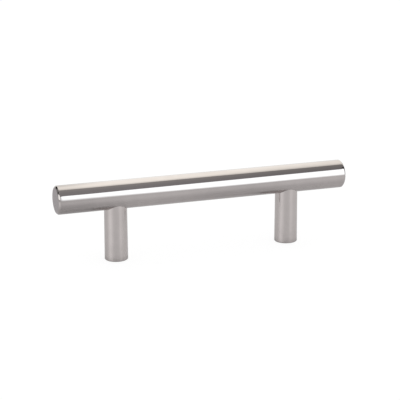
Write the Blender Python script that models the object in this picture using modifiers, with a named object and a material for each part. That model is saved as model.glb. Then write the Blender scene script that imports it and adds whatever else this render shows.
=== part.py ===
"""A T-bar cabinet pull: a round bar on two round posts, each joined to it by a headless screw.

Metres, +Z up. The posts' feet stand on Z = 0, the face of the door or drawer that the pull is
fixed to. The bar runs along X, and the origin is midway between the feet.
"""

from math import cos, pi, radians, tan

import bpy

# The bar: a solid turned rod, chamfered at both ends
BAR_DIAMETER = 0.012
BAR_LENGTH = 0.127
BAR_CHAMFER = 0.0007

# The posts: slightly wider at the foot than at the neck, where they meet the bar
PROJECTION = 0.0337
POST_SPACING = 0.0762
POST_NECK_DIAMETER = 0.0095
POST_FOOT_DIAMETER = 0.0098
FOOT_CHAMFER = 0.00025

# The 8-32 thread that runs through each post and into the bar, drawn plain at its pitch diameter
THREAD_PITCH_DIAMETER = 0.00365
THREAD_CLEARANCE = 0.00015
COUNTERSINK = 0.0005
DRILL_POINT_ANGLE = radians(118)

# The headless screw that holds a post to the bar, with a hex socket below and a cup point above
STUD_LENGTH = 0.0127
STUD_IN_BAR = 0.0062
STUD_CHAMFER = 0.0004
STUD_CUP_DIAMETER = 0.0021
STUD_CUP_DEPTH = 0.0006
HEX_ACROSS_FLATS = 0.00198
HEX_DEPTH = 0.0024

# The bar's hole runs on past the screw's point by this much before the drill's cone
HOLE_RUN_OUT = 0.0008

# Clearance between a post's saddle and the bar it seats on
SEAT_GAP = 0.0003

# How finely round shapes are drawn
BAR_STEPS = 128
POST_STEPS = 96
HOLE_STEPS = 48

# Cutters reach this far past the surface that they cut
CUTTER_MARGIN = 0.001
MERGE_DISTANCE = 0.000001
SHARP_ANGLE = radians(25)

bar_radius = BAR_DIAMETER / 2
bar_axis_height = PROJECTION - bar_radius
bar_underside = bar_axis_height - bar_radius
hole_radius = THREAD_PITCH_DIAMETER / 2 + THREAD_CLEARANCE
stud_radius = THREAD_PITCH_DIAMETER / 2 - THREAD_CLEARANCE
stud_top = bar_underside + STUD_IN_BAR
post_places = {"left": -POST_SPACING / 2, "right": POST_SPACING / 2}


def clear_scene():
    for obj in list(bpy.data.objects):
        bpy.data.objects.remove(obj, do_unlink=True)


def new_collection(name):
    collection = bpy.data.collections.new(name)
    bpy.context.scene.collection.children.link(collection)
    return collection


def metal(name, colour, roughness):
    material = bpy.data.materials.new(name)
    material.use_nodes = True
    shader = material.node_tree.nodes["Principled BSDF"]
    shader.inputs["Base Color"].default_value = (*colour, 1)
    shader.inputs["Metallic"].default_value = 1
    shader.inputs["Roughness"].default_value = roughness
    return material


def turned(name, outline, steps, collection):
    """A solid turned about Z. The outline is (radius, height) from the top, down its outer side."""
    mesh = bpy.data.meshes.new(name)
    edges = [(i, i + 1) for i in range(len(outline) - 1)]
    mesh.from_pydata([(radius, 0, height) for radius, height in outline], edges, [])
    obj = bpy.data.objects.new(name, mesh)
    collection.objects.link(obj)
    screw = obj.modifiers.new("turn", "SCREW")
    screw.steps = screw.render_steps = steps
    screw.use_merge_vertices = True
    screw.merge_threshold = MERGE_DISTANCE
    return obj


def hidden(obj):
    """A cutter or a blank is drawn as wire, and isn't a piece of the pull."""
    obj.hide_render = True
    obj.display_type = "WIRE"
    return obj


def cylinder_cutter(name, collection, **shape):
    bpy.ops.mesh.primitive_cylinder_add(**shape)
    cutter = bpy.context.object
    cutter.name = name
    for other in list(cutter.users_collection):
        other.objects.unlink(cutter)
    collection.objects.link(cutter)
    return hidden(cutter)


def cut(obj, cutter):
    boolean = obj.modifiers.new(f"cut {cutter.name}", "BOOLEAN")
    boolean.operation = "DIFFERENCE"
    boolean.solver = "EXACT"
    boolean.object = cutter


def finished_mesh(obj, name):
    """The object's mesh with its modifiers in it, smooth apart from its real edges."""
    bpy.context.view_layer.update()
    graph = bpy.context.evaluated_depsgraph_get()
    mesh = bpy.data.meshes.new_from_object(obj.evaluated_get(graph))
    mesh.name = name
    mesh.shade_smooth()
    mesh.set_sharp_from_angle(angle=SHARP_ANGLE)
    return mesh


def bar_hole_cutter(name, cutters):
    """A blind hole drilled up into the bar, countersunk at its mouth, with a drill's point."""
    bottom = stud_top + HOLE_RUN_OUT
    point = hole_radius / tan(DRILL_POINT_ANGLE / 2)
    flare = COUNTERSINK + CUTTER_MARGIN
    outline = [
        (0, bottom + point),
        (hole_radius, bottom),
        (hole_radius, bar_underside + COUNTERSINK),
        (hole_radius + flare, bar_underside - CUTTER_MARGIN),
        (0, bar_underside - CUTTER_MARGIN),
    ]
    return hidden(turned(name, outline, HOLE_STEPS, cutters))


def make_bar(parts, cutters, finish):
    """The rod is turned about Z, then laid along X, with a tapped hole above each post."""
    half = BAR_LENGTH / 2
    outline = [
        (0, half),
        (bar_radius - BAR_CHAMFER, half),
        (bar_radius, half - BAR_CHAMFER),
        (bar_radius, -half + BAR_CHAMFER),
        (bar_radius - BAR_CHAMFER, -half),
        (0, -half),
    ]
    bar = turned("bar", outline, BAR_STEPS, parts)
    bar.location.z = bar_axis_height
    bar.rotation_euler.y = pi / 2
    for side, x in post_places.items():
        hole = bar_hole_cutter(f"{side}_bar_hole_cutter", cutters)
        hole.location.x = x
        cut(bar, hole)
    bar.data = finished_mesh(bar, "bar")
    bar.modifiers.clear()
    bar.data.materials.append(finish)
    return bar


def post_radius(height):
    """The post tapers evenly from its foot to the bar's underside, and on up beside the bar."""
    share = height / bar_underside
    return (POST_FOOT_DIAMETER + (POST_NECK_DIAMETER - POST_FOOT_DIAMETER) * share) / 2


def post_hole_cutter(cutters):
    """The hole tapped right through a post, countersunk at the foot."""
    flare = COUNTERSINK + CUTTER_MARGIN
    outline = [
        (0, bar_axis_height),
        (hole_radius, bar_axis_height),
        (hole_radius, COUNTERSINK),
        (hole_radius + flare, -CUTTER_MARGIN),
        (0, -CUTTER_MARGIN),
    ]
    return hidden(turned("post_hole_cutter", outline, HOLE_STEPS, cutters))


def saddle_cutter(cutters):
    """The bar's own round, a clearance larger, which copes the top of a post."""
    return cylinder_cutter(
        "saddle_cutter",
        cutters,
        vertices=BAR_STEPS,
        radius=bar_radius + SEAT_GAP,
        depth=2 * max(POST_NECK_DIAMETER, POST_FOOT_DIAMETER),
        location=(0, 0, bar_axis_height),
        rotation=(0, pi / 2, 0),
    )


def make_posts(parts, cutters, finish):
    """Both posts share one mesh: a tapered rod, coped to the bar and tapped right through."""
    outline = [
        (0, bar_axis_height),
        (post_radius(bar_axis_height), bar_axis_height),
        (post_radius(FOOT_CHAMFER), FOOT_CHAMFER),
        (post_radius(0) - FOOT_CHAMFER, 0),
        (0, 0),
    ]
    blank = hidden(turned("post_blank", outline, POST_STEPS, cutters))
    cut(blank, saddle_cutter(cutters))
    cut(blank, post_hole_cutter(cutters))
    mesh = finished_mesh(blank, "post")
    mesh.materials.append(finish)
    return place_pair("post", mesh, 0, parts)


def hex_socket_cutter(cutters):
    """The socket for a hex key, in the end that faces the foot."""
    return cylinder_cutter(
        "hex_socket_cutter",
        cutters,
        vertices=6,
        radius=HEX_ACROSS_FLATS / 2 / cos(pi / 6),
        depth=HEX_DEPTH + CUTTER_MARGIN,
        location=(0, 0, (HEX_DEPTH - CUTTER_MARGIN) / 2),
    )


def make_studs(parts, cutters, finish):
    """Both headless screws share one mesh."""
    outline = [
        (0, STUD_LENGTH - STUD_CUP_DEPTH),
        (STUD_CUP_DIAMETER / 2, STUD_LENGTH),
        (stud_radius - STUD_CHAMFER, STUD_LENGTH),
        (stud_radius, STUD_LENGTH - STUD_CHAMFER),
        (stud_radius, STUD_CHAMFER),
        (stud_radius - STUD_CHAMFER, 0),
        (0, 0),
    ]
    blank = hidden(turned("stud_blank", outline, HOLE_STEPS, cutters))
    cut(blank, hex_socket_cutter(cutters))
    mesh = finished_mesh(blank, "stud")
    mesh.materials.append(finish)
    return place_pair("stud", mesh, stud_top - STUD_LENGTH, parts)


def place_pair(name, mesh, height, parts):
    """One object on the left and one on the right, both with this mesh."""
    pair = []
    for side, x in post_places.items():
        obj = bpy.data.objects.new(f"{side}_{name}", mesh)
        obj.location = (x, 0, height)
        parts.objects.link(obj)
        pair.append(obj)
    return pair


def main():
    clear_scene()
    parts = new_collection("T-bar cabinet pull")
    cutters = new_collection("cutters")
    nickel = metal("polished nickel", (0.66, 0.61, 0.60), 0.06)
    steel = metal("zinc plated steel", (0.45, 0.46, 0.48), 0.35)
    pieces = [make_bar(parts, cutters, nickel)]
    pieces += make_posts(parts, cutters, nickel)
    pieces += make_studs(parts, cutters, steel)
    door_face = bpy.data.objects.new("door_face", None)
    parts.objects.link(door_face)
    for piece in pieces:
        piece.parent = door_face


main()
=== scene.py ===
# %% [markdown]
# # A T-bar cabinet pull
#
# A round bar of polished nickel stands on two round posts. Each post is coped at its top, so that
# it hugs the bar, and tapped right through: a joining screw holds it to the bar from inside, and
# a machine screw from behind the door comes in at the foot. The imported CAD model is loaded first
# and never moved. It gives every size that matters, and each piece below is made round it.

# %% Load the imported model
import math

import bpy
from mathutils import Matrix, Vector


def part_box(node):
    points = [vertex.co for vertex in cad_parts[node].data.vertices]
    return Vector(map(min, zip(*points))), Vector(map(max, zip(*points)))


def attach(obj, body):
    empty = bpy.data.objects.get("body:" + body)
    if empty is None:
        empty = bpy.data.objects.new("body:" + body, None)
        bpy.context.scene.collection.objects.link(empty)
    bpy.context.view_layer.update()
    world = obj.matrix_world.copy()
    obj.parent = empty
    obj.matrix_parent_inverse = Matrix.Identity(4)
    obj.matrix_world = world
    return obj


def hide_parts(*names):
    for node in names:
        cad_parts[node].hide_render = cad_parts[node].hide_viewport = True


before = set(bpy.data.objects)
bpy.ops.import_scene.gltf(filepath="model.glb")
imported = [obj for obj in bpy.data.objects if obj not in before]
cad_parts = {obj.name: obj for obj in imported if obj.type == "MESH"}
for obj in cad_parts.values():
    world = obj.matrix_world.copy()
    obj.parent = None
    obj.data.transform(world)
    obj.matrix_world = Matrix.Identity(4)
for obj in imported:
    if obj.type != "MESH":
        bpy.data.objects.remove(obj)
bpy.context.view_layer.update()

# %% [markdown]
# ## Sizes
#
# The bar and the posts are measured on the CAD nodes, so that the pieces below fit them. What is
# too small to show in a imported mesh, such as the edge breaks and the thread, is given in
# millimetres where it is first needed, as on a workshop drawing.

# %% Measure the nodes
MM = 0.001
bar_low, bar_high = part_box("bar")
post_low, post_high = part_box("right_post")
stud_low, stud_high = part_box("right_stud")
BAR_LENGTH = bar_high.x - bar_low.x
BAR_RADIUS = (bar_high.y - bar_low.y) / 2
BAR_AXIS = bar_high.z - BAR_RADIUS
POST_SPACING = post_low.x + post_high.x
FOOT_RADIUS = (post_high.y - post_low.y) / 2
print(f"bar {BAR_LENGTH / MM:.2f} x {2 * BAR_RADIUS / MM:.2f} mm, axis {BAR_AXIS / MM:.2f} mm up")
print(f"posts {POST_SPACING / MM:.2f} mm apart, feet {2 * FOOT_RADIUS / MM:.2f} mm")

# %% [markdown]
# ## Sums instead of wires
#
# Node trees are easier to read as sums. `Term` wraps one socket, and its operators add Math nodes,
# so `1 - mask` works as it reads. `Recipe` wraps a tree, and its one method `node` adds any other
# node: first the settings, because they decide which sockets there are, then values and links.
# The same two classes serve the shapes and the finishes.

# %% A socket that can stand in a sum
class Term:
    """One socket of a node tree."""

    def __init__(self, recipe, socket):
        self.recipe = recipe
        self.socket = socket

    def __getitem__(self, name):
        outputs = self.socket.node.outputs
        return Term(self.recipe, next(s for s in outputs if s.enabled and s.name == name))

    def __add__(self, other):
        return self.recipe.math("ADD", self, other)

    def __sub__(self, other):
        return self.recipe.math("SUBTRACT", self, other)

    def __mul__(self, other):
        return self.recipe.math("MULTIPLY", self, other)

    def __truediv__(self, other):
        return self.recipe.math("DIVIDE", self, other)

    def __radd__(self, other):
        return self.recipe.math("ADD", other, self)

    def __rsub__(self, other):
        return self.recipe.math("SUBTRACT", other, self)

    def __rmul__(self, other):
        return self.recipe.math("MULTIPLY", other, self)

    def __neg__(self):
        return self.recipe.math("MULTIPLY", self, -1.0)

    def call(self, operation, *others):
        return self.recipe.math(operation, self, *others)


# %% A tree that is written as sums
class Recipe:
    """A node tree, for a shape or for a finish."""

    def __init__(self, tree):
        self.tree = tree

    def node(self, kind, settings=None, sockets=None):
        made = self.tree.nodes.new(kind)
        for name, value in (settings or {}).items():
            if name == "choices":
                while len(made.index_switch_items) < value:
                    made.index_switch_items.new()
            else:
                setattr(made, name, value)
        usable = [s for s in made.inputs if s.enabled]
        for key, value in (sockets or {}).items():
            target = usable[key] if isinstance(key, int) else next(s for s in usable if s.name == key)
            for one in value if isinstance(value, list) else [value]:
                if isinstance(one, Term):
                    self.tree.links.new(one.socket, target)
                else:
                    target.default_value = one
        outputs = [s for s in made.outputs if s.enabled]
        return Term(self, outputs[0]) if outputs else made

    def math(self, operation, *terms):
        return self.node("ShaderNodeMath", {"operation": operation}, dict(enumerate(terms)))

    def vector(self, x, y, z):
        return self.node("ShaderNodeCombineXYZ", {}, {0: x, 1: y, 2: z})

    def rise(self, value, start, stop):
        """0 below start, 1 above stop, with a soft step between them."""
        sockets = {"Value": value, "From Min": start, "From Max": stop, "To Min": 0.0, "To Max": 1.0}
        return self.node("ShaderNodeMapRange", {"interpolation_type": "SMOOTHSTEP"}, sockets)

    def band(self, value, step_up, step_down):
        """1 between two soft steps and 0 outside them. Each step is a start and a stop."""
        return self.rise(value, *step_up) * (1 - self.rise(value, *step_down))

    def between(self, share, first, second):
        """A number that goes from first to second as share goes from 0 to 1."""
        sockets = {"Factor": share, "A": first, "B": second}
        return self.node("ShaderNodeMix", {"data_type": "FLOAT"}, sockets)

    def tint(self, share, first, second):
        """A colour that goes from first to second as share goes from 0 to 1."""
        sockets = {"Factor": share, "A": first, "B": second}
        return self.node("ShaderNodeMix", {"data_type": "RGBA"}, sockets)


# %% [markdown]
# ## Turning and threading with Geometry Nodes
#
# Bar, posts and screws are all turned work, so their shapes follow rules. A flat sheet of quads is
# wrapped round an axis: one way along the sheet is the turn, the other walks along a profile. A
# lathe would cut the same profile. Geometry Nodes keep the sizes as named inputs, and the sheet
# meets itself at the seam, where a merge closes it. The profile is walked so that all faces look
# outwards: up the outside, in over the top, and down the hole.

# %% Wrap a sheet round an axis
def whereabouts(recipe):
    """How far round and how far along its sheet each point lies, 0 to 1."""
    place = recipe.node("ShaderNodeSeparateXYZ", {}, {0: recipe.node("GeometryNodeInputPosition")})
    return place["X"] + 0.5, place["Y"] + 0.5


def wrap(recipe, columns, rows, turn, radius, height, lying=False):
    """A sheet of columns by rows quads, wrapped round the Z axis, or round X where it is lying."""
    sheet = recipe.node("GeometryNodeMeshGrid", {}, {0: 1.0, 1: 1.0, 2: columns + 1, 3: rows + 1})
    angle = turn * math.tau
    near, far = radius * angle.call("COSINE"), radius * angle.call("SINE")
    place = recipe.vector(height, near, far) if lying else recipe.vector(near, far, height)
    return recipe.node("GeometryNodeSetPosition", {}, {"Geometry": sheet, "Position": place})


# %% Turn a profile
def turned(recipe, columns, profile, lying=False):
    """Turns a profile. profile(turn) lists its (radius, height) pairs in walking order."""
    turn, along = whereabouts(recipe)
    stations = profile(turn)
    rows = len(stations) - 1
    row = (along * float(rows)).call("ROUND")
    picked = []
    for values in zip(*stations):
        sockets = {0: row, **{i + 1: value for i, value in enumerate(values)}}
        settings = {"data_type": "FLOAT", "choices": len(stations)}
        picked.append(recipe.node("GeometryNodeIndexSwitch", settings, sockets))
    return wrap(recipe, columns, rows, turn, *picked, lying=lying)


# %% [markdown]
# ### Rounded corners
#
# Where a chamfer meets a wall, the corner of 45 degrees is rounded with a small arc. The arc starts
# and ends a little away from the sharp corner, by a fixed share of its radius.

# %% Step round a corner
CORNER_LEAD = math.tan(math.radians(22.5))


def arc(*angles):
    """The cosine and sine of each angle, in degrees."""
    return [(math.cos(math.radians(angle)), math.sin(math.radians(angle))) for angle in angles]


print(f"an arc starts {CORNER_LEAD:.3f} of its radius away from the corner")

# %% [markdown]
# ### The screw thread
#
# The holes and the joining screws have the common 8-32 machine thread, which CAD draws as plain
# walls. A thread is a ridge that climbs one pitch in each turn. The sheet's rows are laid along
# that climb, so that crest and root are crisp lines. A point at the end of one turn then lies
# exactly on a point at the start of the next, and the merge joins them. At both ends the climb is
# held back to a level ring, which a cone makes round, as a countersink does in the real hole.

# %% The size of the thread
THREAD_PITCH = 0.794 * MM
NUT_MINOR, NUT_MAJOR = 1.70 * MM, 2.083 * MM
SCREW_MINOR, SCREW_MAJOR = 1.62 * MM, 2.02 * MM
ROOT_SHARE = 0.25
FLANK_SHARE = 0.625
ROWS_PER_PITCH = 8
print(f"thread {2 * NUT_MAJOR / MM:.2f} mm in the holes, {2 * SCREW_MAJOR / MM:.2f} mm on the screws")


# %% Cut a thread


def threaded(recipe, columns, low, high, pitch, radius_at):
    """A threaded wall from low to high. radius_at(depth, height) has depth 0 at minor, 1 at major."""
    turn, along = whereabouts(recipe)
    rows = ((high - low) / pitch + 2.0).call("CEIL") * float(ROWS_PER_PITCH)
    climb = low + pitch * (along * rows / float(ROWS_PER_PITCH) + turn - 1.0)
    height = climb.call("MAXIMUM", low).call("MINIMUM", high)
    wave = (((height - low) / pitch - turn).call("FRACT") * 2.0 - 1.0).call("ABSOLUTE")
    depth = ((wave - ROOT_SHARE) / FLANK_SHARE).call("MAXIMUM", 0.0).call("MINIMUM", 1.0)
    return wrap(recipe, columns, rows, turn, radius_at(depth, height), height)


# %% [markdown]
# ### From tree to plain mesh
#
# Each tree ends in the same way: the skins are joined and merged, edges sharper than a soft corner
# are marked so that the shading breaks there, instances are made real, and the finish is set. The
# modifier is then applied to a new mesh, which is what the exported model can keep.

# %% Finish a tree
MERGE_WITHIN = 0.001 * MM
SHARP_ANGLE = math.radians(22)


def new_tree(name, sizes):
    """A tree with named inputs. Returns its recipe and a dictionary of its inputs."""
    tree = bpy.data.node_groups.new(name, "GeometryNodeTree")
    tree.interface.new_socket("Geometry", in_out="OUTPUT", socket_type="NodeSocketGeometry")
    for size, value in sizes.items():
        kind = "NodeSocketInt" if isinstance(value, int) else "NodeSocketFloat"
        tree.interface.new_socket(size, in_out="INPUT", socket_type=kind).default_value = value
    recipe = Recipe(tree)
    first = recipe.node("NodeGroupInput")
    return recipe, {size: first[size] for size in sizes}


def closed(recipe, skins):
    """Skins joined into one closed skin."""
    joined = recipe.node("GeometryNodeJoinGeometry", {}, {0: skins})
    sockets = {"Geometry": joined, "Distance": MERGE_WITHIN}
    return recipe.node("GeometryNodeMergeByDistance", {}, sockets)


def shifted(recipe, shape, shift):
    """A shape moved by a vector."""
    return recipe.node("GeometryNodeTransform", {}, {"Geometry": shape, "Translation": shift})


def finish_tree(recipe, skin, finish):
    """Marks sharp edges, makes instances real, sets the finish and ends the tree."""
    smooth = recipe.node("GeometryNodeSetShadeSmooth", {"domain": "FACE"}, {"Geometry": skin})
    angle = recipe.node("GeometryNodeInputMeshEdgeAngle")["Unsigned Angle"]
    sharp = angle.call("GREATER_THAN", SHARP_ANGLE)
    edges = {"Geometry": smooth, "Selection": sharp, "Shade Smooth": False}
    broken = recipe.node("GeometryNodeSetShadeSmooth", {"domain": "EDGE"}, edges)
    real = recipe.node("GeometryNodeRealizeInstances", {}, {0: broken})
    done = recipe.node("GeometryNodeSetMaterial", {}, {"Geometry": real, "Material": finish})
    recipe.node("NodeGroupOutput", {}, {0: done})


# %% Make a piece from a tree
def plain_mesh(recipe, name, sizes):
    """Runs a tree with these sizes and keeps what it makes as a plain mesh."""
    holder = bpy.data.objects.new(name + "_holder", bpy.data.meshes.new(name + "_holder"))
    bpy.context.scene.collection.objects.link(holder)
    modifier = holder.modifiers.new("shape", "NODES")
    modifier.node_group = recipe.tree
    for item in recipe.tree.interface.items_tree:
        if item.in_out == "INPUT":
            modifier[item.identifier] = sizes.get(item.name, item.default_value)
    graph = bpy.context.evaluated_depsgraph_get()
    mesh = bpy.data.meshes.new_from_object(holder.evaluated_get(graph), depsgraph=graph)
    mesh.name = name
    holder.modifiers.remove(modifier)
    bpy.data.objects.remove(holder)
    return mesh


def piece_from(recipe, name, sizes, node):
    """Makes a piece from a tree and puts it in a CAD node's place."""
    mesh = plain_mesh(recipe, name, sizes)
    piece = bpy.data.objects.new(name, mesh)
    bpy.context.scene.collection.objects.link(piece)
    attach(piece, "root")
    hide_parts(node)
    corners = [Vector(c) for c in piece.bound_box]
    low = [round(min(c[i] for c in corners) / MM, 3) for i in range(3)]
    high = [round(max(c[i] for c in corners) / MM, 3) for i in range(3)]
    print(name, len(mesh.polygons), "faces, mm", low, high)
    return piece


# %% [markdown]
# ## The nickel finish
#
# The pull is steel or brass, plated and buffed to a bright nickel: a mirror with a little warmth.
# The buffing wheel leaves hair-fine lines round each turned piece and a haze that is a touch
# thicker in some places than in others. A flat metal colour would look like a computer's, so the
# lines and the haze steer roughness, colour and a very shallow bump. The end faces were faced on
# a lathe: they are rougher and show faint rings, and their colour is painted darker as painted
# shade. The posts have the same plating as the bar, and their colour is painted lighter as
# painted light. All of it is worked out from the piece's own coordinates.

# %% Finish helpers
def new_finish(name):
    """A material with one Principled shader. Returns the material, its recipe and the shader."""
    material = bpy.data.materials.new(name)
    material.use_nodes = True
    return material, Recipe(material.node_tree), material.node_tree.nodes["Principled BSDF"]


def speckle(recipe, place, detail=2.0):
    """Soft random cells, one to a unit of place, from 0 to 1."""
    return recipe.node("ShaderNodeTexNoise", {}, {"Vector": place, "Scale": 1.0, "Detail": detail})["Fac"]


def make_metal(recipe, shader, colour, roughness, bump):
    """Links colour, roughness and bump to a shader, and makes it a metal."""
    for name, term in (("Base Color", colour), ("Roughness", roughness), ("Normal", bump)):
        recipe.tree.links.new(term.socket, shader.inputs[name])
    shader.inputs["Metallic"].default_value = 1.0


# %% The numbers of the nickel
BAR_NICKEL = (0.615, 0.569, 0.562)
# painted light: the posts have the same plating as the bar, and their nickel is painted lighter
POST_NICKEL_PAINTED_LIGHTER = (0.720, 0.667, 0.655)
# painted shade: the end faces' nickel is painted darker than the barrel's
FACE_NICKEL_PAINTED_DARKER = (0.425, 0.375, 0.385, 1.0)
HAZE_SHADE = 0.97
HAZE_STEP = (0.35, 0.7)
MIRROR_ROUGHNESS = 0.035
HAZE_ROUGHNESS = 0.030
FACE_ROUGHNESS = 0.16
FACE_STEP = (BAR_LENGTH / 2 - 0.03 * MM, BAR_LENGTH / 2 - 0.005 * MM)
LINES_PER_METRE = 9000.0
BREAKS_PER_METRE = 160.0
HAZE_PER_METRE = 260.0
LINE_HEIGHT = 0.0004 * MM
print(f"roughness from {MIRROR_ROUGHNESS}, and from {FACE_ROUGHNESS} on the end faces")


# %% Polished nickel
def polished_nickel(name, metal, lying):
    """Nickel of the colour metal, buffed round the X axis for the bar, or round Z for a post."""
    material, recipe, shader = new_finish(name)
    xyz = recipe.node("ShaderNodeSeparateXYZ", {}, {0: recipe.node("ShaderNodeTexCoord")["Object"]})
    along, side, front = (xyz[axis] for axis in ("XYZ" if lying else "ZXY"))
    spots = recipe.vector(along * LINES_PER_METRE, side * BREAKS_PER_METRE, front * BREAKS_PER_METRE)
    lines = speckle(recipe, spots)
    clouds = recipe.vector(*(axis * HAZE_PER_METRE for axis in (along, side, front)))
    haze = recipe.rise(speckle(recipe, clouds), *HAZE_STEP)
    colour = recipe.tint(haze, (*metal, 1.0), (*(HAZE_SHADE * part for part in metal), 1.0))
    roughness = MIRROR_ROUGHNESS + HAZE_ROUGHNESS * haze * lines
    relief = lines
    if lying:
        face = recipe.rise(along.call("ABSOLUTE"), *FACE_STEP)
        drop = front - BAR_AXIS
        radius = (side * side + drop * drop).call("SQRT")
        rings = speckle(recipe, recipe.vector(radius * LINES_PER_METRE, haze, 0.0))
        relief = recipe.between(face, lines, rings)
        roughness = recipe.between(face, roughness, FACE_ROUGHNESS + HAZE_ROUGHNESS * rings)
        # painted shade: the end faces are tinted to a darker nickel, on top of their real roughness and
        # rings
        colour = recipe.tint(face, colour, FACE_NICKEL_PAINTED_DARKER)
    heights = {"Strength": 1.0, "Distance": LINE_HEIGHT, "Height": relief}
    make_metal(recipe, shader, colour, roughness, recipe.node("ShaderNodeBump", {}, heights))
    return material


bar_nickel = polished_nickel("bar_nickel", BAR_NICKEL, lying=True)
# painted light: the posts' nickel is painted lighter than the bar's
post_nickel = polished_nickel("post_nickel", POST_NICKEL_PAINTED_LIGHTER, lying=False)
print("finishes", bar_nickel.name, post_nickel.name)

# %% [markdown]
# ## The joining screws' finish
#
# The joining screws are zinc plated steel, greyer and bluer than the nickel, and dull. Zinc grows
# in fine crystals, so colour, roughness and a shallow bump change in small grains. Only the socket
# end shows, from below, deep in each post.

# %% Zinc plated steel
ZINC_PALE = (0.58, 0.59, 0.61, 1.0)
ZINC_DEEP = (0.44, 0.45, 0.47, 1.0)
ZINC_ROUGHNESS, GRAIN_ROUGHNESS = 0.26, 0.16
GRAINS_PER_METRE = 5000.0
GRAIN_DETAIL = 3.0
GRAIN_STEP = (0.35, 0.65)
GRAIN_STRENGTH, GRAIN_HEIGHT = 0.6, 0.004 * MM


def plated_steel(name):
    """Dull zinc plate with a fine grain."""
    material, recipe, shader = new_finish(name)
    xyz = recipe.node("ShaderNodeSeparateXYZ", {}, {0: recipe.node("ShaderNodeTexCoord")["Object"]})
    crystals = recipe.vector(*(xyz[axis] * GRAINS_PER_METRE for axis in "XYZ"))
    grain = speckle(recipe, crystals, GRAIN_DETAIL)
    colour = recipe.tint(recipe.rise(grain, *GRAIN_STEP), ZINC_DEEP, ZINC_PALE)
    roughness = ZINC_ROUGHNESS + GRAIN_ROUGHNESS * grain
    heights = {"Strength": GRAIN_STRENGTH, "Distance": GRAIN_HEIGHT, "Height": grain}
    make_metal(recipe, shader, colour, roughness, recipe.node("ShaderNodeBump", {}, heights))
    return material


screw_zinc = plated_steel("screw_zinc")
print("finish", screw_zinc.name)

# %% [markdown]
# ## The bar
#
# The bar is turned from round stock: a long barrel, a 45 degree chamfer at each end and a flat
# face. No real edge is perfectly sharp, and a buffing wheel bites most at the ends. So the barrel
# drops by a hair over its last millimetre, the shoulder has a tiny rounding, and the chamfer rolls
# over into the face. The thin bright lines at the bar's ends come from these.
#
# Smooth shading shares its tilt between neighbouring faces, so a long face beside a short one bends
# the reflections. A ring of points close to each rounding keeps the long barrel straight.
#
# Two blind holes are tapped into the underside. They are cut as the tap cuts them, by taking a
# threaded plug out of the bar, and the posts' saddles hide the cut. Extra rings beside the saddles
# keep the cut's small faces there.

# %% The sizes of a blind hole
HOLE_BOTTOM = 28.7 * MM
PLUG_RADIUS = 2.15 * MM
PLUG_BELOW = 0.8 * MM
LIP_ABOVE = 0.6 * MM
THREAD_END = 0.4 * MM
THREAD_FADE = 0.5 * MM
DRILL_POINT = 118
DRILL_SLOPE = 1 / math.tan(math.radians(DRILL_POINT / 2))
print(f"blind holes {(HOLE_BOTTOM - BAR_AXIS + BAR_RADIUS) / MM:.2f} mm deep")


# %% The threaded plug that cuts a blind hole
def tap_plug(recipe, inputs):
    """A plug in the shape of a tapped hole, up into the bar from below."""
    columns, pitch, bottom = inputs["Hole columns"], inputs["Thread pitch"], inputs["Hole bottom"]
    start = inputs["Underside"] - PLUG_BELOW
    lip = inputs["Underside"] + LIP_ABOVE
    end = bottom - THREAD_END
    tip = bottom + NUT_MINOR * DRILL_SLOPE

    def radius_at(depth, height):
        fade = ((end - height) / THREAD_FADE).call("MAXIMUM", 0.0).call("MINIMUM", 1.0)
        cut = NUT_MINOR + (NUT_MAJOR - NUT_MINOR) * depth * fade
        return cut.call("MAXIMUM", PLUG_RADIUS - (height - lip))

    lower = turned(recipe, columns, lambda turn: [(0.0, start), (PLUG_RADIUS, start), (PLUG_RADIUS, lip)])
    middle = threaded(recipe, columns, lip, end, pitch, radius_at)
    upper = turned(recipe, columns, lambda turn: [(NUT_MINOR, end), (NUT_MINOR, bottom), (0.0, tip)])
    return closed(recipe, [lower, middle, upper])


# %% The sizes of the bar's ends and rings
BAR_CHAMFER = 0.7 * MM
EDGE_ROUND = 0.06 * MM
FACE_ROUND = 0.70 * MM
FACE_RING = 0.05 * MM
CROWN_LENGTH = 1.1 * MM
CROWN_DROP = 0.036 * MM
CROWN_STEPS = (0.0, 0.25, 0.5, 0.75)
RINGS_FROM_END = (8 * MM, 16 * MM)
RINGS_FROM_POST = (4.7 * MM, 2.7 * MM, -2.7 * MM, -4.7 * MM, -20 * MM)
print(f"bar's chamfer {BAR_CHAMFER / MM:.2f} mm, rounded by {FACE_ROUND / MM:.2f} mm at the face")


# %% The bar's profile
def bar_end(radius, half, chamfer, edge, face_edge):
    """The profile of the bar's far end, from the barrel out over the chamfer to the face."""
    shoulder = half - chamfer
    corner = [(radius, shoulder - 2.0 * CROWN_LENGTH)]
    for share in CROWN_STEPS:
        corner.append((radius - CROWN_DROP * share * share, shoulder - CROWN_LENGTH * (1.0 - share)))
    for c, s in arc(5, 15, 30, 45):
        corner.append((radius - CROWN_DROP - edge + edge * c, shoulder - edge * CORNER_LEAD + edge * s))
    flat = radius - chamfer - face_edge * CORNER_LEAD
    for c, s in arc(45, 54, 63, 72, 81, 90):
        corner.append((flat + face_edge * c, half - face_edge + face_edge * s))
    return corner + [(flat - FACE_RING, half), (0.0, half)]


def bar_profile(inputs):
    """Every ring of the bar, from one face's middle to the other's."""
    radius, half, post = inputs["Radius"], inputs["Length"] * 0.5, inputs["Post spacing"] * 0.5
    far_end = bar_end(radius, half, *(inputs[size] for size in ("Chamfer", "Edge round", "Face round")))
    rings = [half - ring for ring in RINGS_FROM_END] + [post + ring for ring in RINGS_FROM_POST]
    right = [(radius, ring) for ring in reversed(rings)] + far_end
    left = [(ring, -height) for ring, height in reversed(right)]
    return left + [(radius, 0.0)] + right


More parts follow.
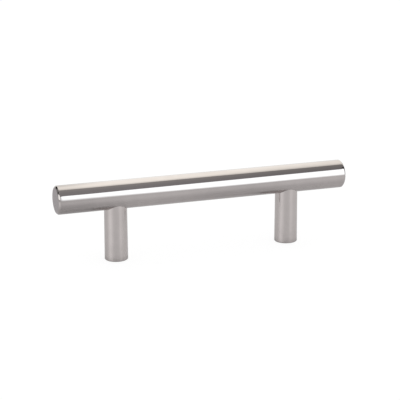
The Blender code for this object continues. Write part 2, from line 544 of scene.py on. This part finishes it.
# %% The tree of the bar
BAR_SIZES = {
    "Length": BAR_LENGTH,
    "Radius": BAR_RADIUS,
    "Axis height": BAR_AXIS,
    "Chamfer": BAR_CHAMFER,
    "Edge round": EDGE_ROUND,
    "Face round": FACE_ROUND,
    "Post spacing": POST_SPACING,
    "Underside": BAR_AXIS - BAR_RADIUS,
    "Hole bottom": HOLE_BOTTOM,
    "Thread pitch": THREAD_PITCH,
    "Columns": 256,
    "Hole columns": 64,
}
recipe, inputs = new_tree("turned_bar", BAR_SIZES)
barrel = closed(recipe, [turned(recipe, inputs["Columns"], lambda turn: bar_profile(inputs), lying=True)])
barrel = shifted(recipe, barrel, recipe.vector(0.0, 0.0, inputs["Axis height"]))
reach = inputs["Post spacing"] * 0.5
ends = {
    "Count": 2,
    "Start Location": recipe.vector(-reach, 0.0, 0.0),
    "Offset": recipe.vector(reach, 0.0, 0.0),
}
places = recipe.node("GeometryNodeMeshLine", {"mode": "END_POINTS"}, ends)
plug = tap_plug(recipe, inputs)
plugs = recipe.node("GeometryNodeInstanceOnPoints", {}, {"Points": places, "Instance": plug})
plugs = recipe.node("GeometryNodeRealizeInstances", {}, {0: plugs})
difference = {"operation": "DIFFERENCE", "solver": "EXACT"}
tapped = recipe.node("GeometryNodeMeshBoolean", difference, {"Mesh 1": barrel, "Mesh 2": plugs})
finish_tree(recipe, tapped, bar_nickel)
print("tree", recipe.tree.name, len(recipe.tree.nodes), "nodes")

# %% Make the bar
piece_from(recipe, "turned_bar", BAR_SIZES, "bar")

# %% [markdown]
# ## The posts
#
# A post is a very slender cone, a little wider at the foot. Its top is coped: a cut of the bar's
# own radius, so that the post wraps the underside of the bar with hardly a line between them. Seen
# from the side the top rises in two horns. A flat-topped cylinder pushed into the bar would give
# nearly the same outline but no seat, no hole and a solid that overlaps the bar. Here the height
# of each ring of the top follows the bar's circle instead, worked out for each column. A ring just
# above the foot keeps the long side's shading straight, as on the bar.

# %% The small sizes of a post
NECK_RADIUS = 4.80 * MM
FOOT_CHAMFER = 0.25 * MM
HOLD_RING = 0.3 * MM
RIM_BREAK = 0.03 * MM
SEAT_FILM = 0.02 * MM
SADDLE_ROWS = 8
MOUTH_RADIUS = 2.475 * MM
RELIEF_RADIUS = 2.2 * MM
SHELF_DEPTH = 0.7 * MM
print(f"post {2 * NECK_RADIUS / MM:.2f} mm at the neck, {SEAT_FILM / MM:.2f} mm off the bar")


# %% The post's profile
def foot_rings(foot, chamfer, edge):
    """The rounded chamfer at the foot."""
    lead = edge * CORNER_LEAD
    rings = [(foot - chamfer - lead + edge * s, edge - edge * c) for c, s in arc(0, 22.5, 45)]
    return rings + [(foot - edge + edge * s, chamfer + lead - edge * c) for c, s in arc(45, 67.5, 90)]


def post_skins(recipe, inputs):
    """The outside, the saddle and the threaded hole of a post, on the Z axis."""
    columns, foot, neck = inputs["Columns"], inputs["Foot radius"], inputs["Neck radius"]
    chamfer, rim, edge = inputs["Foot chamfer"], inputs["Rim break"], inputs["Edge round"]
    axis, seat = inputs["Axis height"], inputs["Seat radius"]
    mouth, relief = inputs["Mouth radius"], inputs["Relief radius"]
    underside = axis - seat
    shelf = underside - SHELF_DEPTH

    def profile(turn):
        sine = (turn * math.tau).call("SINE")

        def saddle(radius):
            across = radius * sine
            return axis - (seat * seat - across * across).call("SQRT")

        side = [chamfer + HOLD_RING, underside * 0.5, saddle(neck) - rim]
        stations = [(mouth, 0.0)] + foot_rings(foot, chamfer, edge)
        stations += [(foot + (neck - foot) * (height / underside), height) for height in side]
        inner, outer = relief + rim, neck - rim
        for row in range(SADDLE_ROWS + 1):
            radius = outer + (inner - outer) * (row / SADDLE_ROWS)
            stations.append((radius, saddle(radius)))
        return stations + [(relief, saddle(relief) - rim), (relief, shelf)]

    def radius_at(depth, height):
        cut = NUT_MINOR + (NUT_MAJOR - NUT_MINOR) * depth
        return cut.call("MAXIMUM", mouth - height).call("MAXIMUM", relief - (shelf - height))

    hole = threaded(recipe, columns, 0.0, shelf, inputs["Thread pitch"], radius_at)
    return [turned(recipe, columns, profile), recipe.node("GeometryNodeFlipFaces", {}, {0: hole})]


# %% The tree of a post
POST_SIZES = {
    "Place": 0.0,
    "Axis height": BAR_AXIS,
    "Seat radius": BAR_RADIUS + SEAT_FILM,
    "Foot radius": FOOT_RADIUS,
    "Neck radius": NECK_RADIUS,
    "Foot chamfer": FOOT_CHAMFER,
    "Edge round": EDGE_ROUND,
    "Rim break": RIM_BREAK,
    "Mouth radius": MOUTH_RADIUS,
    "Relief radius": RELIEF_RADIUS,
    "Thread pitch": THREAD_PITCH,
    "Columns": 128,
}
recipe, inputs = new_tree("coped_post", POST_SIZES)
post = closed(recipe, post_skins(recipe, inputs))
post = shifted(recipe, post, recipe.vector(inputs["Place"], 0.0, 0.0))
finish_tree(recipe, post, post_nickel)
print("tree", recipe.tree.name, len(recipe.tree.nodes), "nodes")

# %% Make both posts
PLACES = {"left": -POST_SPACING / 2, "right": POST_SPACING / 2}
for side, place in PLACES.items():
    sizes = {**POST_SIZES, "Place": place}
    piece_from(recipe, f"{side}_coped_post", sizes, f"{side}_post")

# %% [markdown]
# ## The joining screws
#
# A headless screw joins each post to the bar. It has a hexagon socket at the end that faces the
# foot, so that it can be driven from there, and a cup at the other end. It is turned like the
# rest, but its socket isn't round: the radius of the hole follows a hexagon as the turn goes on.

# %% The sizes of a joining screw
SCREW_TIP = 1.35 * MM
SOCKET_SIDES = 6
SOCKET_FLATS = 1.98 * MM
SOCKET_DEPTH = 2.4 * MM
SOCKET_EDGE = 0.08 * MM
SOCKET_FLOOR = 0.25 * MM
CUP_RADIUS = 1.05 * MM
CUP_DEPTH = 0.6 * MM
print(f"joining screw {(stud_high.z - stud_low.z) / MM:.2f} mm long, {SOCKET_FLATS / MM:.2f} mm key")


# %% The joining screw's profile
def screw_skins(recipe, inputs):
    """The socket, the thread and the cup of a joining screw, on the Z axis."""
    columns, low, high, tip = (inputs[size] for size in ("Columns", "Low end", "High end", "Tip radius"))
    half_flat, deep = inputs["Socket flats"] * 0.5, inputs["Socket depth"]

    def socket_end(turn):
        corner = ((turn * float(SOCKET_SIDES)).call("FRACT") - 0.5) * (math.tau / SOCKET_SIDES)
        hexagon = recipe.math("DIVIDE", half_flat, corner.call("COSINE"))
        floor = low + deep
        walls = [(hexagon, floor), (hexagon, low + SOCKET_EDGE), (hexagon + SOCKET_EDGE, low)]
        return [(0.0, floor + SOCKET_FLOOR)] + walls + [(tip, low)]

    def cup_end(turn):
        return [(tip, high), (inputs["Cup radius"], high), (0.0, high - inputs["Cup depth"])]

    def radius_at(depth, height):
        ridge = SCREW_MINOR + (SCREW_MAJOR - SCREW_MINOR) * depth
        return ridge.call("MINIMUM", tip + (height - low)).call("MINIMUM", tip + (high - height))

    wall = threaded(recipe, columns, low, high, inputs["Thread pitch"], radius_at)
    return [turned(recipe, columns, socket_end), wall, turned(recipe, columns, cup_end)]


# %% The tree of a joining screw
SCREW_SIZES = {
    "Place": 0.0,
    "Low end": stud_low.z,
    "High end": stud_high.z,
    "Tip radius": SCREW_TIP,
    "Socket flats": SOCKET_FLATS,
    "Socket depth": SOCKET_DEPTH,
    "Cup radius": CUP_RADIUS,
    "Cup depth": CUP_DEPTH,
    "Thread pitch": THREAD_PITCH,
    "Columns": 48,
}
recipe, inputs = new_tree("joining_screw", SCREW_SIZES)
screw = closed(recipe, screw_skins(recipe, inputs))
screw = shifted(recipe, screw, recipe.vector(inputs["Place"], 0.0, 0.0))
finish_tree(recipe, screw, screw_zinc)
print("tree", recipe.tree.name, len(recipe.tree.nodes), "nodes")

# %% Make both joining screws
for side, place in PLACES.items():
    sizes = {**SCREW_SIZES, "Place": place}
    piece_from(recipe, f"{side}_joining_screw", sizes, f"{side}_stud")

# %% [markdown]
# ## The studio
#
# Polished metal has hardly a colour of its own: it shows the room. So the room is what has to be
# right, and it is worked out from the direction of a ray, so that it stays put as the camera walks
# round. Each direction has three parts: to the right, to the back and up. Along the bar the mirrored
# direction swings slowly from 0.23 to 0.42 to the right, so soft steps within that range change the
# room along the bar. A camera ray sees plain white, and plain soft light falls on whatever isn't
# shiny.

# %% The direction of a ray
BLACK = (0.0, 0.0, 0.0, 1.0)


class Ray:
    """A ray's direction, in three parts and as an azimuth from the front in degrees."""

    def __init__(self, recipe):
        self.recipe = recipe
        self.way = recipe.node("ShaderNodeTexCoord")["Generated"]
        xyz = recipe.node("ShaderNodeSeparateXYZ", {}, {0: self.way})
        self.right, self.back, self.up = xyz["X"], xyz["Y"], xyz["Z"]
        self.azimuth = recipe.math("ARCTAN2", self.right, -self.back) * math.degrees(1.0)

    def nearness(self, azimuth, elevation):
        """The cosine of the angle between the ray and an azimuth and elevation in degrees."""
        a, e = math.radians(azimuth), math.radians(elevation)
        aim = (math.sin(a) * math.cos(e), -math.cos(a) * math.cos(e), math.sin(e))
        dot = {"operation": "DOT_PRODUCT"}
        return self.recipe.node("ShaderNodeVectorMath", dot, {0: self.way, 1: aim})["Value"]


# %% [markdown]
# ### Panels and ceiling
#
# In front stands a white panel, which gives the bar its bright band. To its left come a shaded
# stretch, a second and dimmer panel, and a grey wall. The panels' top edge climbs to the right,
# and above it lies a dark ceiling.

# %% The front of the room
LEFT_WALL = (0.50, 0.50, 0.51, 1.0)
LEFT_PANEL = (1.36, 1.39, 1.36, 1.0)
PANEL_SHADE = (0.58, 0.60, 0.61, 1.0)
WHITE_PANEL = (1.75, 1.88, 1.92, 1.0)
PANELS = ((-98.0, -92.0, LEFT_PANEL), (-56.0, -48.0, PANEL_SHADE), (3.0, 15.0, WHITE_PANEL))
PANEL_TOP, TOP_CLIMB, TOP_SOFTNESS = 0.585, 0.27, 0.02
CLIMB_START = -0.50
TOP_SAG = 0.016
SAG_STEPS = ((0.232, 0.240), (0.258, 0.272))
CEILING_NEAR = (0.291, 0.287, 0.291, 1.0)
CEILING_FAR = (0.354, 0.347, 0.339, 1.0)
NEAR_TO_FAR = (-0.5, 0.05)
CEILING_DIM, CEILING_DIMS = 0.29, (0.24, 0.46)


def front_of_room(recipe, ray):
    """The panels in front, from left to right, and the ceiling above them."""
    panel = LEFT_WALL
    for start, stop, colour in PANELS:
        panel = recipe.tint(recipe.rise(ray.azimuth, start, stop), panel, colour)
    ceiling = recipe.tint(recipe.rise(ray.back, *NEAR_TO_FAR), CEILING_NEAR, CEILING_FAR)
    ceiling = recipe.tint(recipe.rise(ray.right, *CEILING_DIMS) * CEILING_DIM, ceiling, BLACK)
    top = PANEL_TOP + TOP_CLIMB * ray.right.call("MAXIMUM", CLIMB_START)
    top = top - TOP_SAG * recipe.band(ray.right, *SAG_STEPS)
    return recipe.tint(recipe.rise(ray.up, top - TOP_SOFTNESS, top + TOP_SOFTNESS), panel, ceiling)


# %% [markdown]
# ### The wall behind
#
# Behind stands a cream wall, which gives the top of the bar its warm band. It is dimmer close under
# the ceiling and towards both ends of the bar, and far to the left it isn't lit at all. The edge
# between ceiling and wall is a little uneven.

# %% The back of the room
CREAM_HIGH = (1.02, 1.01, 0.95, 1.0)
CREAM_WALL = (1.40, 1.392, 1.295, 1.0)
CREAM_LOW = (1.32, 1.31, 1.24, 1.0)
HIGH_TO_WALL, WALL_TO_LOW = (0.10, 0.40), (0.65, 0.85)
LEFT_DIM, LEFT_DIMS = 0.12, (0.225, 0.26)
RIGHT_DIM, RIGHT_DIMS = 0.155, (0.27, 0.42)
CORNER_DIM, CORNER_END, CORNER_HEIGHT = 0.14, (0.23, 0.26), (0.60, 0.80)
PALE_SPOT, SPOT_STEPS, SPOT_HEIGHT = 0.065, ((0.325, 0.345), (0.385, 0.405)), (0.45, 0.72)
UNLIT_WALL, UNLIT_TO_LIT = (0.24, 0.24, 0.24, 1.0), (-0.38, -0.22)


def wall_behind(recipe, ray):
    """The cream wall, dimmer towards both ends of the bar, and unlit far to the left."""
    cream = recipe.tint(recipe.rise(ray.back, *HIGH_TO_WALL), CREAM_HIGH, CREAM_WALL)
    cream = recipe.tint(recipe.rise(ray.back, *WALL_TO_LOW), cream, CREAM_LOW)
    dimmed = LEFT_DIM * (1 - recipe.rise(ray.right, *LEFT_DIMS))
    dimmed = dimmed + RIGHT_DIM * recipe.rise(ray.right, *RIGHT_DIMS)
    corner = (1 - recipe.rise(ray.right, *CORNER_END)) * recipe.rise(ray.back, *CORNER_HEIGHT)
    spot = recipe.band(ray.right, *SPOT_STEPS) * recipe.rise(ray.back, *SPOT_HEIGHT)
    dimmed = dimmed + CORNER_DIM * corner - PALE_SPOT * spot
    cream = recipe.tint(dimmed, cream, BLACK)
    return recipe.tint(recipe.rise(ray.right, *UNLIT_TO_LIT), UNLIT_WALL, cream)


# %% Where the ceiling ends and the wall begins
WALL_START = (0.068, 0.098)
UNEVENNESS = 0.018
BULGE_STEPS = ((0.325, 0.340), (0.385, 0.410))
LEFT_HOLLOW, LEFT_HOLLOW_END = 0.8, (0.235, 0.245)
RIGHT_HOLLOW, RIGHT_HOLLOW_START = 0.5, (0.395, 0.415)


def share_behind(recipe, ray):
    """0 in the front of the room, 1 in the back."""
    bulge = recipe.band(ray.right, *BULGE_STEPS)
    bulge = bulge - LEFT_HOLLOW * (1 - recipe.rise(ray.right, *LEFT_HOLLOW_END))
    bulge = bulge - RIGHT_HOLLOW * recipe.rise(ray.right, *RIGHT_HOLLOW_START)
    return recipe.rise(ray.back + UNEVENNESS * bulge, *WALL_START)


# %% [markdown]
# ### The table
#
# Below lies a pale table, which gives the underside of the bar and the posts their soft grey. It is
# darker straight under the bar, lighter where more of the room's light reaches it, and two soft
# glows on it give each post its two pale stripes. Its far edge is very soft, and sharper only at
# the left, where the bar's chamfer mirrors it.

# %% The light on the table
TABLE_FAR, TABLE_UNDER, TABLE_BACK = 0.57, 0.303, 0.325
FAR_TO_UNDER, UNDER_TO_BACK = (0.30, 1.05), (-0.1, 0.45)
LIT_STEP, VALLEY_STEP, DIP_STEPS = (0.235, 0.285), (0.05, 0.18), ((0.28, 0.345), (0.35, 0.375))
FAR_LIT, FAR_VALLEY, FAR_DIP = 0.05, 0.04, 0.06
UNDER_LIT, UNDER_DIP, BACK_LIT = 0.23, 0.13, 0.16
FULLER, FULLER_STEPS = 0.05, ((0.258, 0.272), (0.305, 0.325))
FAINTER, FAINTER_STEPS = 0.055, ((0.15, 0.22), (0.245, 0.265))
STEEP = (0.30, 0.42)
GLOWS = ((-72.0, 0.32, 10.0), (30.0, 0.15, 14.0))
GLOW_ELEVATION = -16.0
LEFT_SHADE, SHADE_RISE = 0.42, (-0.16, -0.04)


def table_light(recipe, ray, left):
    """How light the table is in the direction of a ray."""
    lit = recipe.rise(ray.right, *LIT_STEP)
    valley = recipe.rise(ray.right, *VALLEY_STEP) * (1 - lit)
    dip = recipe.band(ray.right, *DIP_STEPS)
    far = TABLE_FAR + FAR_LIT * lit - FAR_VALLEY * valley - FAR_DIP * dip
    under = TABLE_UNDER + UNDER_LIT * lit - UNDER_DIP * dip
    under = recipe.between(recipe.rise(ray.back, *UNDER_TO_BACK), under, TABLE_BACK + BACK_LIT * lit)
    table = recipe.between(recipe.rise(-ray.up, *FAR_TO_UNDER), far, under)
    uneven = FULLER * recipe.band(ray.right, *FULLER_STEPS)
    uneven = uneven - FAINTER * recipe.band(ray.right, *FAINTER_STEPS)
    table = table * (1 + recipe.rise(-ray.up, *STEEP) * uneven)
    for azimuth, strength, tightness in GLOWS:
        glow = ray.nearness(azimuth, GLOW_ELEVATION).call("MAXIMUM", 0.0).call("POWER", tightness)
        table = table + strength * glow
    return table * (1 - LEFT_SHADE * left * recipe.rise(ray.up, *SHADE_RISE))


# %% Where the table ends
EDGE_LEFT, EDGE_RIGHT, EDGE_STEP = 0.165, 0.015, (0.20, 0.36)
EDGE_BACK, EDGE_FAR_LEFT = 0.08, 0.075
LEFT_LIFT, LEFT_LIFT_END = 0.04, (0.08, 0.20)
RIGHT_LIFT, RIGHT_LIFT_START = 0.02, (0.34, 0.38)
SOFTNESS, LEFT_SOFTER, LEFT_SHARPER = 0.13, 0.04, 0.11
SOFTER_END = (0.25, 0.28)


def share_above_table(recipe, ray, behind, left):
    """0 on the table, 1 above its far edge."""
    front_left = left * (1 - behind)
    edge = recipe.between(recipe.rise(ray.right, *EDGE_STEP), EDGE_LEFT, EDGE_RIGHT)
    edge = recipe.between(behind, edge, EDGE_BACK)
    edge = edge + LEFT_LIFT * (1 - recipe.rise(ray.right, *LEFT_LIFT_END))
    edge = edge + RIGHT_LIFT * recipe.rise(ray.right, *RIGHT_LIFT_START)
    edge = recipe.between(front_left, edge, EDGE_FAR_LEFT)
    softer = LEFT_SOFTER * (1 - recipe.rise(ray.right, *SOFTER_END)) * (1 - left)
    softness = SOFTNESS + softer - LEFT_SHARPER * front_left
    return recipe.rise(ray.up, edge - softness, edge + softness)


# %% [markdown]
# ### The whole room
#
# The parts come together here: the front and the back above, the table below. Last come four small
# unlit gaps, each given by its azimuth, its elevation and its reach in degrees. They make the dark
# spots in the bar's chamfers, which mirror parts of the room that the long barrel doesn't.

# %% The room, by direction
LEFT_SIDE = (-0.5, 0.0)
UNLIT_GAP = (0.012, 0.010, 0.010, 1.0)
GAPS = (
    (-154.0, 23.0, 13.0),
    (-103.0, 30.5, 5.0),
    (119.0, -1.0, 10.0),
    (52.0, 47.0, 7.0),
)
GAP_SOFTNESS = 2.0


def room(recipe):
    """The colour of the room in the direction of a ray."""
    ray = Ray(recipe)
    left = 1 - recipe.rise(ray.right, *LEFT_SIDE)
    behind = share_behind(recipe, ray)
    above = recipe.tint(behind, front_of_room(recipe, ray), wall_behind(recipe, ray))
    light = table_light(recipe, ray, left)
    table = recipe.vector(light, light, light)
    shown = recipe.tint(share_above_table(recipe, ray, behind, left), table, above)
    for azimuth, elevation, reach in GAPS:
        outside, inside = (math.cos(math.radians(reach + s)) for s in (GAP_SOFTNESS, -GAP_SOFTNESS))
        dark = recipe.rise(ray.nearness(azimuth, elevation), outside, inside)
        shown = recipe.tint(dark, shown, UNLIT_GAP)
    return shown


# %% Build the world
SOFT_LIGHT = (0.9, 0.9, 0.9, 1.0)
WHITE = (1.0, 1.0, 1.0, 1.0)


def mirrored(path):
    """1 for a ray that comes from a shiny or a clear surface, 0 for any other."""
    return path["Is Glossy Ray"].call("MAXIMUM", path["Is Transmission Ray"])


world = bpy.data.worlds.new("studio")
bpy.context.scene.world = world
world.use_nodes = True
world.node_tree.nodes.clear()
recipe = Recipe(world.node_tree)
path = recipe.node("ShaderNodeLightPath")
plain = recipe.tint(path["Is Camera Ray"], SOFT_LIGHT, WHITE)
seen = recipe.tint(mirrored(path), plain, room(recipe))
light = recipe.node("ShaderNodeBackground", {}, {"Color": seen, "Strength": 1.0})
recipe.node("ShaderNodeOutputWorld", {}, {"Surface": light})
world.cycles.sampling_method = "NONE"
print("world", len(world.node_tree.nodes), "nodes")

# %% [markdown]
# ## The floor
#
# The pull stands on a plain pale sheet. It is lit by the soft light, so it keeps the pull's faint
# shadow, and a little glow for camera rays lifts it to the white of the background. The metal
# looks through it at the room's own table, which is softer than a small sheet could be. Before the
# feet it sees more of the sheet, and close round them a sheet painted darker, as painted shade
# where a post stands on a table. From below the sheet can be looked through, so that the feet and
# their threads can be seen.

# %% The numbers of the floor
FLOOR_HALF = 1.5
FLOOR_DROP = 0.05 * MM
FLOOR_DIM = (0.15, 0.15, 0.15, 1.0)
FLOOR_PALE = (0.66, 0.66, 0.66, 1.0)
# painted shade: the sheet's colour close round the feet, seen only in the metal
FLOOR_PAINTED_SHADE = (0.46, 0.46, 0.46, 1.0)
FLOOR_GLOW = (0.885, 0.885, 0.885, 1.0)
SEEN_IN_METAL = 0.35
SEEN_NEAR_FEET = 0.27
SEEN_AT_FEET = 0.20
FOOT_SHADE = (6.0 * MM, 40.0 * MM)
BEFORE_FEET = (4.0 * MM, 12.0 * MM)
CONTACT_SHADE = (5.0 * MM, 13.0 * MM)
print(f"the metal sees {SEEN_IN_METAL:.2f} of the floor, up to {SEEN_NEAR_FEET:.2f} more before the feet")


# %% The pale floor
def pale_sheet():
    """The floor's material."""
    material = bpy.data.materials.new("pale_sheet")
    material.use_nodes = True
    material.node_tree.nodes.clear()
    recipe = Recipe(material.node_tree)
    path = recipe.node("ShaderNodeLightPath")
    under = recipe.node("ShaderNodeNewGeometry")["Backfacing"]
    shiny = mirrored(path)
    xyz = recipe.node("ShaderNodeSeparateXYZ", {}, {0: recipe.node("ShaderNodeTexCoord")["Object"]})
    beside = xyz["X"].call("ABSOLUTE") - POST_SPACING / 2
    away = (beside * beside + xyz["Y"] * xyz["Y"]).call("SQRT")
    near = (1 - recipe.rise(away, *FOOT_SHADE)) * recipe.rise(-xyz["Y"], *BEFORE_FEET)
    # painted shade: close round the feet the metal sees more of the sheet, painted darker
    touch = 1 - recipe.rise(away, *CONTACT_SHADE)
    solid = SEEN_IN_METAL + SEEN_NEAR_FEET * near + SEEN_AT_FEET * touch
    open_to = (shiny * (1 - solid)).call("MAXIMUM", under)
    in_metal = recipe.tint(touch, FLOOR_PALE, FLOOR_PAINTED_SHADE)
    matt = recipe.node("ShaderNodeBsdfDiffuse", {}, {"Color": recipe.tint(shiny, FLOOR_DIM, in_metal)})
    lift = recipe.tint(path["Is Camera Ray"], BLACK, FLOOR_GLOW)
    glow = recipe.node("ShaderNodeEmission", {}, {"Color": lift, "Strength": 1.0})
    sheet = recipe.node("ShaderNodeAddShader", {}, {0: matt, 1: glow})
    clear = recipe.node("ShaderNodeBsdfTransparent")
    shown = recipe.node("ShaderNodeMixShader", {}, {0: open_to, 1: sheet, 2: clear})
    recipe.node("ShaderNodeOutputMaterial", {}, {"Surface": shown})
    return material


corners = [(x * FLOOR_HALF, y * FLOOR_HALF, -FLOOR_DROP) for x, y in ((-1, -1), (1, -1), (1, 1), (-1, 1))]
floor_mesh = bpy.data.meshes.new("floor")
floor_mesh.from_pydata(corners, [], [(0, 1, 2, 3)])
floor_mesh.materials.append(pale_sheet())
floor = bpy.data.objects.new("floor", floor_mesh)
bpy.context.scene.collection.objects.link(floor)
print("floor", 2 * FLOOR_HALF, "m square")

# %% [markdown]
# ## The camera
#
# The camera stands to the left and a little above, far enough away that the two posts look nearly
# alike. Its place, its lens and the point that it looks at were worked out from the outlines in
# the photograph, with the pull's real sizes.

# %% Place the camera
CAMERA_AZIMUTH, CAMERA_ELEVATION, CAMERA_ROLL = -0.33386, 0.27690, -0.00314
CAMERA_DISTANCE = 0.641277
CAMERA_TARGET = Vector((-0.0010775, 0.0, 0.0218545))
CAMERA_LENS, CAMERA_SENSOR = 136.878, 36.0
CAMERA_CLIP = 0.01
level, lift = math.cos(CAMERA_ELEVATION), math.sin(CAMERA_ELEVATION)
back = Vector((math.sin(CAMERA_AZIMUTH) * level, -math.cos(CAMERA_AZIMUTH) * level, lift))
across = (-back).cross(Vector((0, 0, 1))).normalized()
upward = across.cross(-back)
c, s = math.cos(CAMERA_ROLL), math.sin(CAMERA_ROLL)
across, upward = across * c + upward * s, upward * c - across * s
eye = CAMERA_TARGET + back * CAMERA_DISTANCE
camera_data = bpy.data.cameras.new("camera")
camera_data.sensor_width = CAMERA_SENSOR
camera_data.lens = CAMERA_LENS
camera_data.clip_start = CAMERA_CLIP
camera = bpy.data.objects.new("camera", camera_data)
camera.matrix_world = Matrix.Translation(eye) @ Matrix((across, upward, back)).transposed().to_4x4()
bpy.context.scene.collection.objects.link(camera)
bpy.context.scene.camera = camera
bpy.context.scene.view_settings.view_transform = "Standard"
print("camera at", [round(v, 4) for v in eye])
